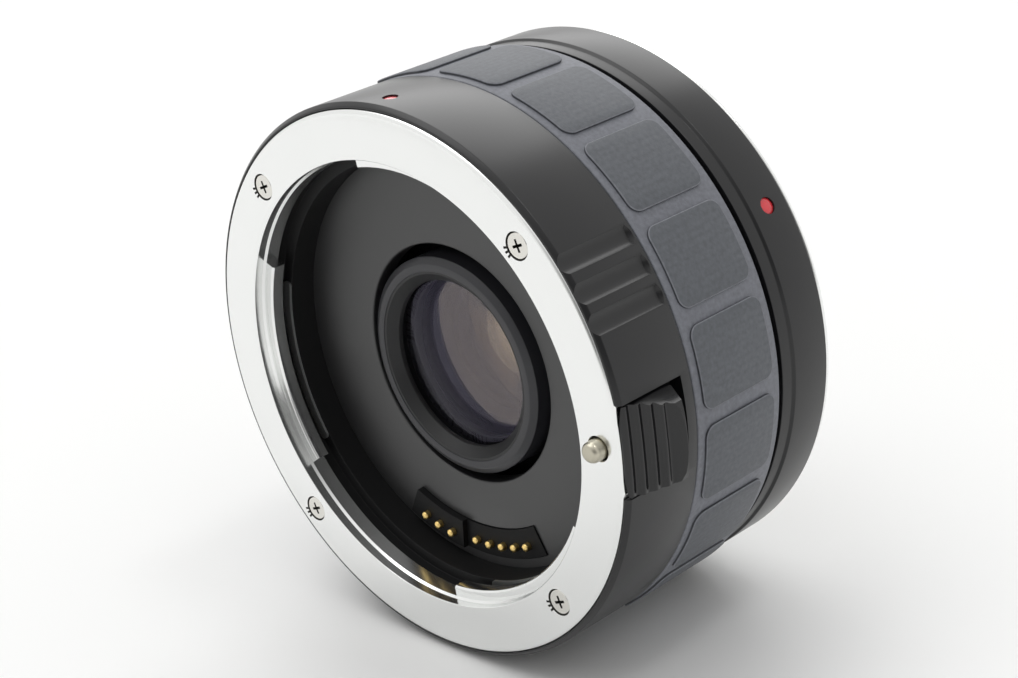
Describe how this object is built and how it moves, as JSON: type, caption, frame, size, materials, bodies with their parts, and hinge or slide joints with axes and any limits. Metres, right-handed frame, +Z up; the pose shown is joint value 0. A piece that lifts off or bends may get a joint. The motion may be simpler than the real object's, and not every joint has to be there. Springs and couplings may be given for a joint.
{
  "type": "camera teleconverter",
  "caption": "Short black camera teleconverter ring with a bayonet at each end, rubber grip, sprung contacts, lens cell and sliding lens release lever.",
  "frame": {"origin": "centre of the camera side flange face, on the optical axis", "axes": "+Y along the optical axis towards the camera, -Y towards the lens, +Z up towards the lens index dot, +X towards the release lever"},
  "size_m": [0.0702, 0.0435, 0.0674],
  "materials": {
    "black_satin_paint": "satin",
    "satin_chrome_brass": "satin",
    "nickel_steel": "satin",
    "spring_steel": "polished",
    "black_moulding": "matte",
    "black_anodised": "matte",
    "optical_glass": "coated",
    "red_enamel": "gloss",
    "circuit_board": "satin",
    "cast_aluminium": "cast",
    "grip_rubber": "matte",
    "black_gloss_plastic": "gloss",
    "polyimide_film": "satin",
    "gilt_brass": "polished"
  },
  "bodies": {
    "converter": {"front_barrel": "black_satin_paint", "front_index_dot": "red_enamel", "lens_mount_ring": "satin_chrome_brass", "lens_mount_screws": "nickel_steel", "mount_leaf_spring_1": "spring_steel", "mount_leaf_spring_2": "spring_steel", "mount_leaf_spring_3": "spring_steel", "throat_liner": "black_moulding", "front_baffle": "black_anodised", "front_contact_block": "black_moulding", "front_contact_board": "circuit_board", "rubber_grip": "grip_rubber", "inner_frame": "cast_aluminium", "lens_cell": "black_anodised", "lens_cell_screws": "nickel_steel", "front_retainer": "black_anodised", "lens_element_1": "optical_glass", "lens_element_2": "optical_glass", "lens_element_3": "optical_glass", "lens_element_4": "optical_glass", "lens_spacer_1": "black_anodised", "lens_spacer_2": "black_anodised", "rear_retainer": "black_anodised", "main_board": "circuit_board", "flex_cable": "polyimide_film", "rear_body": "black_satin_paint", "rear_index_dot": "red_enamel", "camera_mount_ring": "satin_chrome_brass", "camera_mount_screws": "nickel_steel", "rear_baffle": "black_moulding", "rear_contact_block": "black_moulding", "lock_spring": "spring_steel", "rear_contact_1": "gilt_brass", "rear_contact_2": "gilt_brass", "rear_contact_3": "gilt_brass", "rear_contact_4": "gilt_brass", "rear_contact_5": "gilt_brass", "rear_contact_6": "gilt_brass", "rear_contact_7": "gilt_brass", "rear_contact_8": "gilt_brass", "contact_spring_1": "spring_steel", "contact_spring_2": "spring_steel", "contact_spring_3": "spring_steel", "contact_spring_4": "spring_steel", "contact_spring_5": "spring_steel", "contact_spring_6": "spring_steel", "contact_spring_7": "spring_steel", "contact_spring_8": "spring_steel"},
    "release": {"release_lever": "black_gloss_plastic", "lock_slider": "black_moulding", "lock_pin": "nickel_steel", "lever_screws": "nickel_steel"},
    "contact_1": {"contact_pin_1": "gilt_brass"},
    "contact_2": {"contact_pin_2": "gilt_brass"},
    "contact_3": {"contact_pin_3": "gilt_brass"},
    "contact_4": {"contact_pin_4": "gilt_brass"},
    "contact_5": {"contact_pin_5": "gilt_brass"},
    "contact_6": {"contact_pin_6": "gilt_brass"},
    "contact_7": {"contact_pin_7": "gilt_brass"},
    "contact_8": {"contact_pin_8": "gilt_brass"}
  },
  "joints": [
    {"name": "release_slide", "type": "slide", "parent": "converter", "child": "release", "axis": [0, 1, 0], "range_m": [0, 0.0019], "stiffness_N_per_m": 400, "springref_m": -0.004, "deforming": ["lock_spring"]},
    {"name": "contact_1_slide", "type": "slide", "parent": "converter", "child": "contact_1", "axis": [0, 1, 0], "range_m": [0, 0.0008], "stiffness_N_per_m": 150, "springref_m": -0.0015, "deforming": ["contact_spring_1"]},
    {"name": "contact_2_slide", "type": "slide", "parent": "converter", "child": "contact_2", "axis": [0, 1, 0], "range_m": [0, 0.0008], "stiffness_N_per_m": 150, "springref_m": -0.0015, "deforming": ["contact_spring_2"]},
    {"name": "contact_3_slide", "type": "slide", "parent": "converter", "child": "contact_3", "axis": [0, 1, 0], "range_m": [0, 0.0008], "stiffness_N_per_m": 150, "springref_m": -0.0015, "deforming": ["contact_spring_3"]},
    {"name": "contact_4_slide", "type": "slide", "parent": "converter", "child": "contact_4", "axis": [0, 1, 0], "range_m": [0, 0.0008], "stiffness_N_per_m": 150, "springref_m": -0.0015, "deforming": ["contact_spring_4"]},
    {"name": "contact_5_slide", "type": "slide", "parent": "converter", "child": "contact_5", "axis": [0, 1, 0], "range_m": [0, 0.0008], "stiffness_N_per_m": 150, "springref_m": -0.0015, "deforming": ["contact_spring_5"]},
    {"name": "contact_6_slide", "type": "slide", "parent": "converter", "child": "contact_6", "axis": [0, 1, 0], "range_m": [0, 0.0008], "stiffness_N_per_m": 150, "springref_m": -0.0015, "deforming": ["contact_spring_6"]},
    {"name": "contact_7_slide", "type": "slide", "parent": "converter", "child": "contact_7", "axis": [0, 1, 0], "range_m": [0, 0.0008], "stiffness_N_per_m": 150, "springref_m": -0.0015, "deforming": ["contact_spring_7"]},
    {"name": "contact_8_slide", "type": "slide", "parent": "converter", "child": "contact_8", "axis": [0, 1, 0], "range_m": [0, 0.0008], "stiffness_N_per_m": 150, "springref_m": -0.0015, "deforming": ["contact_spring_8"]}
  ]
}
